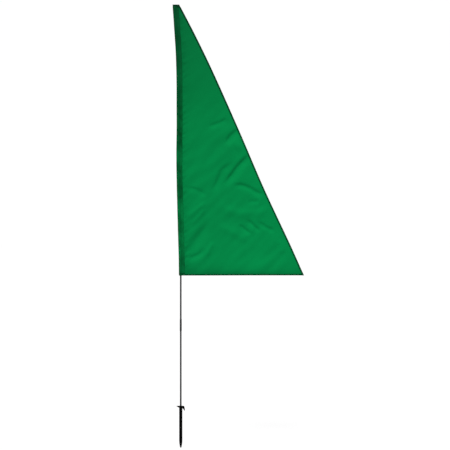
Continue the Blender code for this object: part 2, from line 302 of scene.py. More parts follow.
class Finish:  # a material and the one method that adds its nodes
    def __init__(self, name, **constants):
        self.material = bpy.data.materials.new(name)
        self.material.use_nodes = True
        self.tree = self.material.node_tree
        self.shader = self.tree.nodes["Principled BSDF"]
        for socket, value in constants.items():
            self.shader.inputs[socket.replace("_", " ")].default_value = value

    def node(self, kind, settings=None, inputs=None, output=0):
        made = self.tree.nodes.new(kind)
        for name, value in (settings or {}).items():
            if name == "stops":
                self.setStops(made.color_ramp, value)
            else:
                setattr(made, name, value)
        for key, value in (inputs or {}).items():
            if isinstance(value, Wire):
                self.tree.links.new(value.socket, made.inputs[key])
            else:
                made.inputs[key].default_value = value
        return Wire(self, made.outputs[output])

    def setStops(self, ramp, stops):
        while len(ramp.elements) > 1:
            ramp.elements.remove(ramp.elements[-1])
        ramp.elements[0].position, ramp.elements[0].color = stops[0]
        for position, colour in stops[1:]:
            ramp.elements.new(position).color = colour

    def feed(self, **wires):
        for socket, wire in wires.items():
            self.tree.links.new(wire.socket, self.shader.inputs[socket.replace("_", " ")])
        return self.material

    def place(self):
        return self.node("ShaderNodeTexCoord", output="Object")

    def split(self, vector):
        made = self.node("ShaderNodeSeparateXYZ", inputs={0: vector}).socket.node
        return [Wire(self, socket) for socket in made.outputs]

    def stretch(self, vector, scale):
        return self.node("ShaderNodeVectorMath", {"operation": "MULTIPLY"}, {0: vector, 1: scale})

    def noise(self, vector, scale, detail=3.0, roughness=0.5):
        inputs = {"Vector": vector, "Scale": scale, "Detail": detail, "Roughness": roughness}
        return self.node("ShaderNodeTexNoise", {}, inputs)

    def blend(self, factor, first, second, mode="MIX"):
        settings = {"data_type": "RGBA", "blend_type": mode}
        return self.node("ShaderNodeMix", settings, {0: factor, 6: first, 7: second}, output=2)

    def ramp(self, factor, stops):
        return self.node("ShaderNodeValToRGB", {"stops": stops}, {0: factor})

    def bump(self, height, distance):
        inputs = {"Strength": 1.0, "Distance": distance, "Height": height}
        return self.node("ShaderNodeBump", {}, inputs)


def grey(value):
    return (value, value, value, 1.0)


# Cloth: a plain weave of fine thread, a little uneven in its dye
weave = {
    "pitch": 0.0007,  # between threads
    "relief": 0.00012,
    "slubs": 0.10,  # how much single threads differ
    "slubStretch": 9.0,  # slubs to a metre along a thread
    "mottle": 0.10,  # how much the dye differs over a hand's width
    "mottleScale": 9.0,
}
# linear colours by share of the flag's height: the cloth's green with painted shade, which makes the panel
# darker towards the head and lighter towards the foot
panelDyeAndPaintedShade = (
    (0.00, (0.0002, 0.0855, 0.0218, 1)),
    (0.35, (0.0002, 0.0870, 0.0221, 1)),
    (0.55, (0.0002, 0.0825, 0.0209, 1)),
    (0.68, (0.0002, 0.0688, 0.0176, 1)),
    (0.80, (0.0003, 0.0640, 0.0168, 1)),
    (1.00, (0.0004, 0.0575, 0.0157, 1)),
)
# painted shade: the doubled sleeve is kept darker than the panel, as less light shines through two layers,
# and darker towards its ends, most at the head
sleeveDyeAndPaintedShade = (
    (0.00, (0.0004, 0.0460, 0.0122, 1)),
    (0.12, (0.0004, 0.0630, 0.0158, 1)),
    (0.22, (0.0004, 0.0620, 0.0154, 1)),
    (0.36, (0.0004, 0.0520, 0.0130, 1)),
    (0.55, (0.0004, 0.0480, 0.0120, 1)),
    (0.67, (0.0005, 0.0415, 0.0106, 1)),
    (0.80, (0.0006, 0.0343, 0.0096, 1)),
    (0.90, (0.0007, 0.0322, 0.0092, 1)),
    (1.00, (0.0008, 0.0350, 0.0098, 1)),
)
# painted shade: the folded hems are kept darker still, as less light shines through them, and darker
# towards the head
hemDyeAndPaintedShade = (
    (0.00, (0.0004, 0.030, 0.0086, 1)),
    (0.50, (0.0004, 0.033, 0.0092, 1)),
    (0.64, (0.0005, 0.019, 0.0060, 1)),
    (1.00, (0.0006, 0.016, 0.0052, 1)),
)
# painted shade: the pressed end darkens towards its top
closureDyeAndPaintedShade = (
    (0.985, (0.0010, 0.032, 0.0095, 1)),
    (0.994, (0.0008, 0.015, 0.0052, 1)),
    (1.000, (0.0006, 0.008, 0.0032, 1)),
)


def nylonFinish(name, dyeAndPaintedShade, shade):
    # the last argument is how far the attribute of painted shade and uneven tone darkens the cloth at its
    # most
    finish = Finish(name, Roughness=0.72, Specular_IOR_Level=0.008)
    place = finish.place()
    threads = finish.node("ShaderNodeUVMap", {"uv_map": "threads"})
    u, v, _ = finish.split(threads)
    _, _, z = finish.split(place)
    warp = (u * (math.pi / weave["pitch"])).math("SINE")
    weft = (v * (math.pi / weave["pitch"])).math("SINE")
    over = (warp * weft * 3.0 + 0.5).math("MINIMUM", 1.0).math("MAXIMUM", 0.0)
    relief = abs(warp) * over + abs(weft) * (1 - over)
    across, along = 1 / weave["pitch"], weave["slubStretch"]
    warpSlub = finish.noise(finish.stretch(threads, (across, along, 0.0)), 1.0, 1.0)
    weftSlub = finish.noise(finish.stretch(threads, (along, across, 0.0)), 1.0, 1.0)
    slubs = warpSlub + weftSlub
    mottle = finish.noise(place, weave["mottleScale"])
    height = (z - flag["low"]) / flag["hoist"]
    light = (1 - weave["slubs"] / 2 - weave["mottle"] / 2) + slubs * (weave["slubs"] / 2)
    # painted shade: the weave's relief also darkens the colour between the threads
    light = (light + mottle * weave["mottle"]) * (0.9 + relief * 0.14)
    dark = finish.node("ShaderNodeAttribute", {"attribute_name": "shade"}, output="Fac")
    light = light * (1 - dark * shade)
    tone = finish.node("ShaderNodeCombineXYZ", {}, {0: light, 1: light, 2: light})
    # the ramp gives the cloth's green with painted shade by height
    colour = finish.blend(1.0, finish.ramp(height, dyeAndPaintedShade), tone, "MULTIPLY")
    rough = 0.66 + mottle * 0.12
    normal = finish.bump(relief + slubs * 0.5, weave["relief"])
    return finish.feed(Base_Color=colour, Roughness=rough, Normal=normal)


def threadFinish():
    finish = Finish("sewing_thread", Roughness=0.5, Specular_IOR_Level=0.06)
    place = finish.place()
    x, _, z = finish.split(place)
    twist = (z * 9000.0 + x * 7000.0).math("SINE")
    colour = finish.blend(finish.noise(place, 300.0), (0.0004, 0.028, 0.008, 1), (0.0004, 0.040, 0.011, 1))
    rough = 0.45 + finish.noise(place, 900.0) * 0.2
    return finish.feed(Base_Color=colour, Roughness=rough, Normal=finish.bump(twist, 0.00006))


# the pole's colours, from its foot up, darker towards the foot
poleTones = {
    "from": -0.1,
    "over": 0.9,
    "stops": (
        (0.00, (0.003, 0.003, 0.003, 1)),
        (0.25, (0.005, 0.005, 0.005, 1)),
        (0.45, (0.009, 0.009, 0.0093, 1)),
        (1.00, (0.010, 0.010, 0.0103, 1)),
    ),
}


def fibreglassFinish():
    finish = Finish("pole_fibreglass", Specular_IOR_Level=0.10)
    place = finish.place()
    _, _, z = finish.split(place)
    strands = finish.noise(finish.stretch(place, (1.0, 1.0, 0.004)), 1400.0, 2.0)
    scuffs = finish.noise(finish.stretch(place, (1.0, 1.0, 0.15)), 160.0, 4.0, 0.6)
    marks = scuffs.math("GREATER_THAN", 0.66)
    colour = finish.ramp((z - poleTones["from"]) / poleTones["over"], poleTones["stops"])
    colour = finish.blend(strands * 0.3, colour, (0.022, 0.022, 0.023, 1))
    colour = finish.blend(marks * 0.25, colour, (0.035, 0.035, 0.035, 1))
    rough = 0.30 + strands * 0.12 + marks * 0.15
    return finish.feed(Base_Color=colour, Roughness=rough, Normal=finish.bump(strands, 0.00008))


def ferruleFinish():
    finish = Finish("ferrule_metal", Specular_IOR_Level=0.12)
    place = finish.place()
    brushed = finish.noise(finish.stretch(place, (0.05, 0.05, 1.0)), 2600.0, 2.0)
    worn = finish.noise(place, 220.0, 4.0, 0.65)
    bare = worn.math("GREATER_THAN", 0.70)
    colour = finish.blend(worn, (0.004, 0.004, 0.0045, 1), (0.009, 0.009, 0.0095, 1))
    colour = finish.blend(bare * 0.5, colour, (0.04, 0.04, 0.04, 1))
    rough = 0.36 + brushed * 0.18
    normal = finish.bump(brushed, 0.00003)
    return finish.feed(Base_Color=colour, Roughness=rough, Metallic=bare * 0.5 + 0.1, Normal=normal)


def mouldedFinish(name, dark, pale, specular, rough):
    finish = Finish(name, Specular_IOR_Level=specular)
    place = finish.place()
    grain = finish.noise(place, 1500.0, 3.0)
    flow = finish.noise(finish.stretch(place, (1.0, 1.0, 0.25)), 45.0, 3.0)
    scratch = finish.noise(finish.stretch(place, (1.0, 1.0, 0.06)), 420.0, 3.0, 0.6)
    scratch = scratch.math("GREATER_THAN", 0.68)
    colour = finish.blend(scratch * 0.3, finish.blend(flow, grey(dark), grey(pale)), grey(0.004))
    rough = rough + grain * 0.14 + scratch * 0.1
    return finish.feed(Base_Color=colour, Roughness=rough, Normal=finish.bump(grain, 0.00005))


panelNylon = nylonFinish("panel_nylon", panelDyeAndPaintedShade, 0.35)
sleeveNylon = nylonFinish("sleeve_nylon", sleeveDyeAndPaintedShade, 0.5)
hemNylon = nylonFinish("hem_nylon", hemDyeAndPaintedShade, 0.4)
closureNylon = nylonFinish("closure_nylon", closureDyeAndPaintedShade, 0.4)
sewingThread = threadFinish()
fibreglass = fibreglassFinish()
ferruleMetal = ferruleFinish()
capPlastic = mouldedFinish("cap_plastic_moulded", 0.006, 0.010, 0.3, 0.45)
stakePlastic = mouldedFinish("stake_plastic_moulded", 0.0002, 0.0005, 0.012, 0.38)
print("finishes made")

# Studio: a level camera square to the flag, a pale floor under the stake's point, white light all round
studio = {
    "aim": (0.2488, 1.045),
    "distance": 7.03,
    "lens": 100.0,
    "farthest": 200,
    "floorRadius": 60.0,
    "floorGap": 0.0004,
    "floorGlow": 0.94,
    "floorGreys": (0.018, 0.022),
    "skyStrength": 1.01,
    "suns": (("key_sun", (0.2, 0.5, -0.84), 12.0), ("rear_sun", (-0.2, -0.5, -0.84), 4.0)),
    "sunWidth": 18.0,  # degrees
}


def makeCamera():
    across, height = studio["aim"]
    deselectAll()
    bpy.ops.object.camera_add(location=(across, -studio["distance"], height), rotation=(math.pi / 2, 0, 0))
    camera = bpy.context.object
    camera.data.lens = studio["lens"]
    camera.data.clip_end = studio["farthest"]
    bpy.context.scene.camera = camera


def makeFloor():
    place = (0, 0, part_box("ground_stake")[0].z - studio["floorGap"])
    size = {"vertices": 96, "radius": studio["floorRadius"], "location": place}
    deselectAll()
    bpy.ops.mesh.primitive_circle_add(**size, fill_type="NGON")
    floor = bpy.context.object
    floor.name = "studio_floor"
    glow = {"Emission_Color": grey(1.0), "Emission_Strength": studio["floorGlow"]}
    paint = Finish("studio_floor_paint", Roughness=0.9, Specular_IOR_Level=0.0, **glow)
    dark, pale = studio["floorGreys"]
    colour = paint.blend(paint.noise(paint.place(), 2.0), grey(dark), grey(pale))
    floor.data.materials.append(paint.feed(Base_Color=colour))


def makeLight():
    for name, toward, strength in studio["suns"]:
        turned = Vector(toward).to_track_quat("-Z", "Y").to_euler()
        deselectAll()
        bpy.ops.object.light_add(type="SUN", location=(0, 0, 6), rotation=turned)
        lamp = bpy.context.object
        lamp.name = name
        lamp.data.energy = strength
        lamp.data.angle = math.radians(studio["sunWidth"])
    world = bpy.data.worlds.new("studio_sky")
    world.use_nodes = True
    sky = world.node_tree.nodes["Background"]
    sky.inputs["Color"].default_value = grey(1.0)
    sky.inputs["Strength"].default_value = studio["skyStrength"]
    bpy.context.scene.world = world
    bpy.context.scene.view_settings.view_transform = "Standard"


makeCamera()
makeFloor()
makeLight()
print("studio made")

# Panel: the single layer of cloth. It is cut a little askew, so that pulling it square
# leaves slack on one diagonal, and the cloth takes that up in long folds.
panel = {
    "cell": 0.008,
    "thickness": 0.0005,
    "tuck": 0.003,  # how far it reaches into the hems
    "skew": 0.024,
    "ease": 0.0035,
    "rough": 0.0022,  # how uneven the cloth lies before it's pulled
    "firm": (0.42, 0.72),  # shares of the height between which the slack dies out
    "sewn": 0.05,  # how far from its held edges the cloth starts flat
    "frames": 34,
    "mostMove": 0.009,
    "besideSeam": 0.00045,
    "underSleeve": 0.0032,
    "slipsUnder": 0.006,  # the height over which it does
}
hem = {"width": 0.009, "gap": 0.0003, "mouth": 0.012}


def panelLeft(z):
    # between the sleeve's two layers, but beside them at the sleeve's mouth
    foot = flag["low"] + hem["mouth"]
    under = panel["underSleeve"] * smooth(foot, foot + panel["slipsUnder"], z)
    return seamX(z) + panel["besideSeam"] - under


def panelRight(z):
    return flyX(z) - hem["width"] + panel["tuck"]


def panelGrid(cell):
    # rows of equal cells that lose one where the fly edge comes in
    shape = bmesh.new()
    low = flag["low"] + hem["width"] - panel["tuck"]
    high = flag["closure"] - hem["gap"]
    count = round((high - low) / cell)
    rows, held = [], []
    for i in range(count + 1):
        z = low + (high - low) * i / count
        left, right = panelLeft(z), panelRight(z)
        cells = max(1, round((right - left) / cell))
        row = []
        for j in range(cells + 1):
            x = right if j == cells else left + cell * j
            row.append(shape.verts.new((x, billowY(x, z), z)))
        rows.append(row)
    for lower, upper in zip(rows, rows[1:]):
        shared = min(len(lower), len(upper)) - 1
        for j in range(shared):
            shape.faces.new((lower[j], lower[j + 1], upper[j + 1], upper[j]))
        for j in range(shared, len(lower) - 1):
            shape.faces.new((lower[j], lower[j + 1], upper[-1]))
        for j in range(shared, len(upper) - 1):
            shape.faces.new((lower[-1], upper[j + 1], upper[j]))
    shape.verts.index_update()
    for i, row in enumerate(rows):
        edge = row if i in (0, count) else (row[0], row[-1])
        held += [vert.index for vert in edge]
    return shape, held


def drape(cloth, held):
    # Cloth simulation from the cut shape, with the sewn edges held
    group = cloth.vertex_groups.new(name="held")
    group.add(held, 1.0, "REPLACE")
    for vert in cloth.data.vertices:
        x, _, z = vert.co
        inside = smooth(0.0, panel["sewn"], x - panelLeft(z))
        inside *= smooth(0.0, panel["sewn"], panelRight(z) - x)
        calm = 0.35 + 0.65 * (1 - smooth(*panel["firm"], flagShare(z)))
        vert.co.y += panel["rough"] * uneven((x + z) * 5.0, (x - z) * 17.0, 4.2) * inside * calm
    cloth.shape_key_add(name="held")
    cut = cloth.shape_key_add(name="cut")
    for point in cut.data:
        x, _, z = point.co
        across = x - panelLeft(z)
        lower = 1 - smooth(*panel["firm"], flagShare(z))
        point.co.z = z - panel["skew"] * across * (0.15 + 0.85 * lower)
        point.co.x = x + panel["ease"] * across * lower
        point.co.y = 0.0
    modifier = cloth.modifiers.new("drape", "CLOTH")
    settings = modifier.settings
    settings.quality = 6
    settings.mass = 0.12
    settings.tension_stiffness = 30
    settings.compression_stiffness = 30
    settings.shear_stiffness = 18
    settings.bending_stiffness = 0.6
    settings.air_damping = 4
    settings.vertex_group_mass = "held"
    settings.rest_shape_key = cut
    settings.effector_weights.gravity = 0
    modifier.collision_settings.use_collision = False
    modifier.collision_settings.use_self_collision = False
    scene = bpy.context.scene
    modifier.point_cache.frame_start, modifier.point_cache.frame_end = 1, panel["frames"]
    for step in range(1, panel["frames"] + 1):
        scene.frame_set(step)
    graph = bpy.context.evaluated_depsgraph_get()
    settled = [vert.co.copy() for vert in cloth.evaluated_get(graph).data.vertices]
    cloth.modifiers.remove(modifier)
    cloth.shape_key_clear()
    scene.frame_set(1)
    most = 0.0
    for vert, place in zip(cloth.data.vertices, settled):
        start = Vector((vert.co.x, billowY(vert.co.x, vert.co.z), vert.co.z))
        move = place - start
        most = max(most, move.length)
        if move.length > panel["mostMove"]:
            move *= panel["mostMove"] / move.length
        vert.co = start + move
    print("panel simulated, furthest move", round(most * 1000, 1), "mm")


def dress(piece, uvOf, shadeOf):
    # the threads' directions and the painted shade with uneven tone, which the cloth's finishes read
    mesh = piece.data
    threads = mesh.uv_layers.new(name="threads")
    for loop in mesh.loops:
        threads.data[loop.index].uv = uvOf(mesh.vertices[loop.vertex_index].co)
    shade = mesh.attributes.new("shade", "FLOAT", "POINT")
    shade.data.foreach_set("value", [shadeOf(vert.co) for vert in mesh.vertices])


def flatThreads(co):
    return co.x, co.z


def roundThreads(co):
    return co.x + co.y, co.z


def panelShade(co):
    # painted shade: the cloth is darker on the seam's side of the flag, just above the bottom hem, and in
    # patches beside the seam where it puckers
    fromSeam = co.x - seamX(co.z)
    fromHem = co.z - flag["low"] - hem["width"]
    beside = 0.20 * math.exp(-fromSeam / 0.05) + 0.25 * (1 - smooth(0.15, 0.45, fromSeam))
    above = 0.70 * math.exp(-((fromHem / 0.038) ** 2))
    patches = 0.55 * (0.5 + uneven(co.z * 55, fromSeam * 40, 0.3)) * math.exp(-fromSeam / 0.012)
    return min(1.0, max(0.0, beside + above + patches))


def makePanel():
    shape, held = panelGrid(panel["cell"])
    cloth = addPiece("cloth_panel", shape, panelNylon)
    drape(cloth, held)
    choose(cloth)
    finer = cloth.modifiers.new("finer", "SUBSURF")
    finer.levels = finer.render_levels = 1
    finer.boundary_smooth = "PRESERVE_CORNERS"
    bpy.ops.object.modifier_apply(modifier="finer")
    for vert in cloth.data.vertices:
        x, y, z = vert.co
        vert.co.y = y + clothY(x, z) - billowY(x, z)
    thick = cloth.modifiers.new("thick", "SOLIDIFY")
    thick.thickness = panel["thickness"]
    thick.offset = 0
    bpy.ops.object.modifier_apply(modifier="thick")
    dress(cloth, flatThreads, panelShade)
    return finishPiece(cloth, "flag", "nylon", "flag_panel")


clothPanel = makePanel()
print("panel made:", len(clothPanel.data.polygons), "faces")

# Hems: the cloth turned over the panel's edge and sewn through
folded = {
    "wall": 0.0005,
    "half": 0.0009,  # from the middle of the cloth to the fold's outside
    "step": 0.003,
    "sewnAt": 0.74,  # share of the hem's width, from its outer edge
    "sewnFlat": 0.92,  # share of its thickness left under the stitches
    "ripples": ((150, 0.4, 0.14), (40, 2.4, 0.10)),  # to a metre, which ones, height
}


def foldProfile(width, half, bends=6):
    # across a turned hem, from its inner edge in front, round the fold, to its inner edge behind
    shares = ((1, 0.80), (0.93, 1), (0.72, 0.88), (0.45, 1.05))
    flank = [(-width * across, -half * out) for across, out in shares]
    angles = [math.radians(-90 + 180 * i / bends) for i in range(bends + 1)]
    fold = [(-half + half * math.cos(angle), half * math.sin(angle)) for angle in angles]
    return flank + fold + [(x, -y) for x, y in reversed(flank)]


def strip(name, stations, place, finish):
    # stations run along the strip, and place(station) gives a ring of points across it
    shape = bmesh.new()
    rings = [[shape.verts.new(point) for point in place(station)] for station in stations]
    for near, far in zip(rings, rings[1:]):
        for j in range(len(near) - 1):
            shape.faces.new((near[j], near[j + 1], far[j + 1], far[j]))
    bmesh.ops.recalc_face_normals(shape, faces=shape.faces)
    return addPiece(name, shape, finish)


def spread(low, high, step):
    count = max(1, round((high - low) / step))
    return [low + (high - low) * i / count for i in range(count + 1)]


def hemRipple(along):
    swell = 1
    for perMetre, which, height in folded["ripples"]:
        swell += height * uneven(along * perMetre, which, 0.0)
    return swell


def addWall(piece, thickness):
    # gives a strip of cloth its thickness, inwards
    wall = piece.modifiers.new("wall", "SOLIDIFY")
    wall.thickness = thickness
    wall.offset = -1


def makeFlyHem():
    profile = foldProfile(hem["width"], folded["half"])

    def ring(z):
        x = flyX(z)
        base, swell = clothY(x, z), hemRipple(z)
        slope = (base - clothY(x - hem["width"], z)) / hem["width"]
        return [(x + across, base + slope * across + out * swell, z) for across, out in profile]

    stations = spread(flag["low"], flag["closure"] - hem["gap"], folded["step"])
    return closeHem(strip("cloth_fly_hem", stations, ring, hemNylon), "fly_hem")


def makeBottomHem():
    profile = foldProfile(hem["width"], folded["half"])
    low = flag["low"]
    left, right = panelLeft(low), flyX(low) - hem["width"] - hem["gap"]

    def ring(x):
        base, swell = clothY(x, low), hemRipple(x + 9)
        slope = (clothY(x, low + hem["width"]) - base) / hem["width"]
        return [(x, base - slope * across + out * swell, low - across) for across, out in profile]

    piece = strip("cloth_bottom_hem", spread(left, right, folded["step"]), ring, hemNylon)
    return closeHem(piece, "bottom_hem")


def closeHem(piece, node):
    addWall(piece, folded["wall"])
    applyModifiers(piece)
    # painted shade: the hem is darkened evenly, with uneven patches
    dress(piece, flatThreads, lambda co: 0.5 + uneven(co.x * 90, 0, co.z * 90))
    return finishPiece(piece, "flag", "nylon_hem", node)


flyHem = makeFlyHem()
bottomHem = makeBottomHem()
print("hems made")

# Sleeve: two layers round the pole that come together at the seam
sleeve = {
    "wall": 0.0006,
    "seamHalf": 0.00098,  # from the middle of the panel to the sleeve's outside at the seam
    "flat": 0.005,  # how wide the two layers lie together at the seam
    "sag": 0.0011,  # of each layer between the pole and the seam
    "sagPoints": 9,
    "bendPoints": 9,  # from the pole's one side round to its far end
    "step": 0.005,
    "foldsFrom": (0.013, 0.019),  # folds start behind the pole
    "foldsTo": (0.022, 0.0265),  # and end at the seam
    "folds": 0.0013,
    "smallFolds": 0.0004,
    "swells": 0.0004,
    "edgeSwells": 0.0007,
    "rows": (0.0038, 0.0014),  # of stitches, from the seam's edge
}


def sleeveRing(width, half):
    # outside of the sleeve, from the seam in front, round the pole, to the seam behind
    radius, flat = flag["sleeveDepth"] / 2, sleeve["flat"]
    meet = Vector((width - flat - radius, half))  # where the layers meet, from the pole's middle
    reach = math.atan2(meet.y, meet.x) + math.acos(radius / meet.length)
    tangent = Vector((math.cos(reach), math.sin(reach))) * radius
    points = [(width, half * 0.75), (width - 0.0006, half), (width - flat * 0.5, half * 1.03)]
    for i in range(sleeve["sagPoints"]):
        t = i / sleeve["sagPoints"]
        line = meet.lerp(tangent, t)
        points.append((radius + line.x, line.y - sleeve["sag"] * math.sin(math.pi * t) ** 2))
    for i in range(sleeve["bendPoints"] + 1):
        angle = reach + (math.pi - reach) * i / sleeve["bendPoints"]
        points.append((radius + radius * math.cos(angle), radius * math.sin(angle)))
    return [(x, -y) for x, y in points] + points[-2::-1]


def sleevePoint(x, y, z, folds):
    # a point of the ring at this height, with the cloth's small folds
    edge = sleeveX(z)
    room = smooth(*sleeve["foldsFrom"], x) * (1 - smooth(*sleeve["foldsTo"], x))
    side = -1 if y < 0 else 1
    fold = uneven(z * 58 + x * 45, side * 3.1, 7.0)
    small = uneven(z * 150, side * 5.3, x * 60)
    low = uneven(z * 11, side * 2.2, 3.0)
    push = folds * room * (sleeve["folds"] * fold + sleeve["smallFolds"] * small)
    push += folds * sleeve["swells"] * low * smooth(0.0, 0.012, x)
    slack = sleeve["edgeSwells"] * folds * smooth(0.010, 0.0, x) * low
    over = clothY(edge + x, z) if x > flag["sleeveWidth"] else 0.0
    return (edge + x - slack, y + side * push + over, z)


def sleeveShade(co):
    # painted shade: darker over the pole, whose shadow shows through the cloth, and round the outer edge,
    # more so towards the head, with uneven patches along its length
    x = co.x - sleeveX(co.z)
    head = smooth(0.55, 0.8, flagShare(co.z))
    over = 1 - smooth(0.0075, 0.0105, x)
    tone = (0.60 + 0.12 * head) * over + 0.30 * (1 - over)
    patches = 0.85 * uneven(co.z * 15, x * 25, 1.0) + 0.45 * uneven(co.z * 42, x * 60, 4.0)
    return min(1.0, max(0.0, tone + patches * (1 - 0.6 * head)))


def makeSleeve():
    outside = sleeveRing(flag["sleeveWidth"], sleeve["seamHalf"])

    def ring(z):
        return [sleevePoint(x, y, z, 1.0) for x, y in outside]

    # its ends reach into the mouth hem and the closure
    stations = spread(flag["low"] + hem["mouth"] - 0.002, flag["closure"] + 0.001, sleeve["step"])
    piece = strip("cloth_sleeve", stations, ring, sleeveNylon)
    addWall(piece, sleeve["wall"])
    applyModifiers(piece)
    dress(piece, roundThreads, sleeveShade)
    return finishPiece(piece, "flag", "nylon_doubled", "pole_sleeve")


# Mouth hem: the sleeve's lower end, turned back over itself
mouth = {
    "over": 0.0004,  # how far it stands over the sleeve
    "wall": 0.0013,
    "edge": 0.0005,
    "step": 0.0015,
    "folds": 0.5,  # share of the sleeve's
}


def mouthRing(z, swell=1 + mouth["over"] / (flag["sleeveDepth"] / 2)):
    places = []
    for x, y in sleeveRing(flag["sleeveWidth"], sleeve["seamHalf"] + mouth["over"]):
        grow = mouth["over"] if x > flag["sleeveWidth"] / 2 else -mouth["over"]
        places.append(sleevePoint(x + grow, y * swell, z, mouth["folds"]))
    return places


def makeMouthHem():
    stations = spread(flag["low"], flag["low"] + hem["mouth"], mouth["step"])
    piece = strip("cloth_mouth_hem", stations, mouthRing, hemNylon)
    addWall(piece, mouth["wall"])
    edge = piece.modifiers.new("edge", "BEVEL")
    edge.width = mouth["edge"]
    edge.segments = 3
    edge.angle_limit = math.radians(50)
    applyModifiers(piece)
    dress(piece, roundThreads, sleeveShade)
    return finishPiece(piece, "flag", "nylon_hem", "sleeve_mouth_hem")


# Closure: the sleeve's end, pressed flat, folded and sewn, with its outer side along the fly edge
closing = {
    "levels": (0.0, 0.15, 0.32, 0.5, 0.7, 0.85, 0.95, 1.0),  # shares of its height
    "depths": (1.03, 1.0, 0.84, 0.62, 0.44, 0.36, 0.30, 0.16),  # of the sleeve's depth, at each
    "half": 0.0016,
    "inset": 0.0006,
    "gathers": 0.10,
}


def makeClosure():
    low, high = flag["closure"], flag["high"]
    shape = bmesh.new()
    rings = []
    for share, depth in zip(closing["levels"], closing["depths"]):
        z = low + (high - low) * share
        ring = []
        for x, y in sleeveRing(flyX(z) - sleeveX(z) - closing["inset"], closing["half"]):
            gather = closing["gathers"] * uneven(x * 420, share * 2, 5.0 if y > 0 else 8.0)
            gather *= 1 - share * 0.5
            ring.append(shape.verts.new((sleeveX(z) + x, y * depth * (1 + gather), z)))
        rings.append(ring)
    count = len(rings[0])
    for near, far in zip(rings, rings[1:]):
        for j in range(count):
            shape.faces.new((near[j], near[(j + 1) % count], far[(j + 1) % count], far[j]))
    shape.faces.new(rings[0])
    shape.faces.new(rings[-1])
    bmesh.ops.recalc_face_normals(shape, faces=shape.faces)
    piece = addPiece("cloth_closure", shape, closureNylon)
    # painted shade: the closure is darkened evenly, with uneven patches
    dress(piece, roundThreads, lambda co: 0.5 + uneven(co.x * 200, 0, co.z * 200))
    return finishPiece(piece, "flag", "nylon_hem", "top_closure")


clothSleeve = makeSleeve()
mouthHem = makeMouthHem()
closure = makeClosure()
print("sleeve made:", len(clothSleeve.data.polygons), "faces")

# Stitches: one is modelled, and a row of them is laid along each seam on both faces
stitch = {
    "length": 0.0026,
    "thick": 0.00028,
    "pitch": 0.0033,
    "straight": 0.72,  # share of its length between its tapered ends
    "over": 0.0001,  # how far it stands over the cloth
    "bend": 0.01,  # how often a row follows the cloth
}


def oneStitch():
    half = stitch["length"] * stitch["straight"] / 2
    taper = stitch["length"] * (1 - stitch["straight"]) / 2
    deselectAll()
    size = {"vertices": 6, "radius": stitch["thick"], "depth": 2 * half}
    bpy.ops.mesh.primitive_cylinder_add(**size, end_fill_type="TRIFAN", rotation=(0, math.pi / 2, 0))
    made = bpy.context.object
    bpy.ops.object.transform_apply(location=True, rotation=True, scale=True)
    for vert in made.data.vertices:
        if math.hypot(vert.co.y, vert.co.z) < 1e-6:  # the middle of an end
            vert.co.x *= (half + taper) / half
        vert.co.x += stitch["pitch"] / 2
    return made


def sewRow(points):
    # one row of stitches along these points
    curve = bpy.data.curves.new("row", "CURVE")
    curve.dimensions = "3D"
    spline = curve.splines.new("POLY")
    spline.points.add(len(points) - 1)
    for point, place in zip(spline.points, points):
        point.co = (*place, 1.0)
    path = bpy.data.objects.new("row", curve)
    bpy.context.scene.collection.objects.link(path)
    row = oneStitch()
    repeat = row.modifiers.new("repeat", "ARRAY")
    repeat.fit_type = "FIT_CURVE"
    repeat.curve = path
    repeat.use_relative_offset = False
    repeat.use_constant_offset = True
    repeat.constant_offset_displace = (stitch["pitch"], 0, 0)
    follow = row.modifiers.new("follow", "CURVE")
    follow.object = path
    applyModifiers(row)
    bpy.data.objects.remove(path)
    return row


def sew(name, rows):
    made = [sewRow(points) for points in rows]
    choose(made[0])
    if len(made) > 1:
        for row in made:
            row.select_set(True)
        bpy.ops.object.join()
    thread = bpy.context.object
    thread.name = thread.data.name = name
    thread.data.materials.clear()
    thread.data.materials.append(sewingThread)
    thread.data.shade_smooth()
    return finishPiece(thread, "flag", "nylon_hem")


def bothSides(line, half):
    # a row of places in the cloth, as a row in front of it and one behind
    return [[(x, clothY(x, z) + side * (half + stitch["over"]), z) for x, z in line] for side in (-1, 1)]


def seamRows():
    heights = spread(flag["low"] + hem["mouth"] + 0.001, flag["closure"] - 0.002, stitch["bend"])
    lines = [[(seamX(z) - inset, z) for z in heights] for inset in sleeve["rows"]]
    pairs = [bothSides(line, sleeve["seamHalf"]) for line in lines]
    return [pair[side] for side in (0, 1) for pair in pairs]


def flyRows():
    inset = hem["width"] * folded["sewnAt"]
    heights = spread(flag["low"] + 0.002, flag["closure"] - 0.003, stitch["bend"])
    return bothSides([(flyX(z) - inset, z) for z in heights], folded["half"] * folded["sewnFlat"])


def bottomRows():
    z = flag["low"] + hem["width"] * folded["sewnAt"]
    acrosses = spread(panelLeft(z) + 0.002, flyX(z) - hem["width"] - 0.003, stitch["bend"])
    return bothSides([(x, z) for x in acrosses], folded["half"] * folded["sewnFlat"])


def mouthRows():
    z = flag["low"] + hem["mouth"] - 0.0026
    over = stitch["over"]
    return [[(x, y + (over if y > 0 else -over), z) for x, y, z in mouthRing(z, 1.05)[2:-2]]]


threadSeam = sew("thread_sleeve_seam", seamRows())
threadFly = sew("thread_fly_hem", flyRows())
threadBottom = sew("thread_bottom_hem", bottomRows())
threadMouth = sew("thread_mouth_hem", mouthRows())
print("stitches sewn")


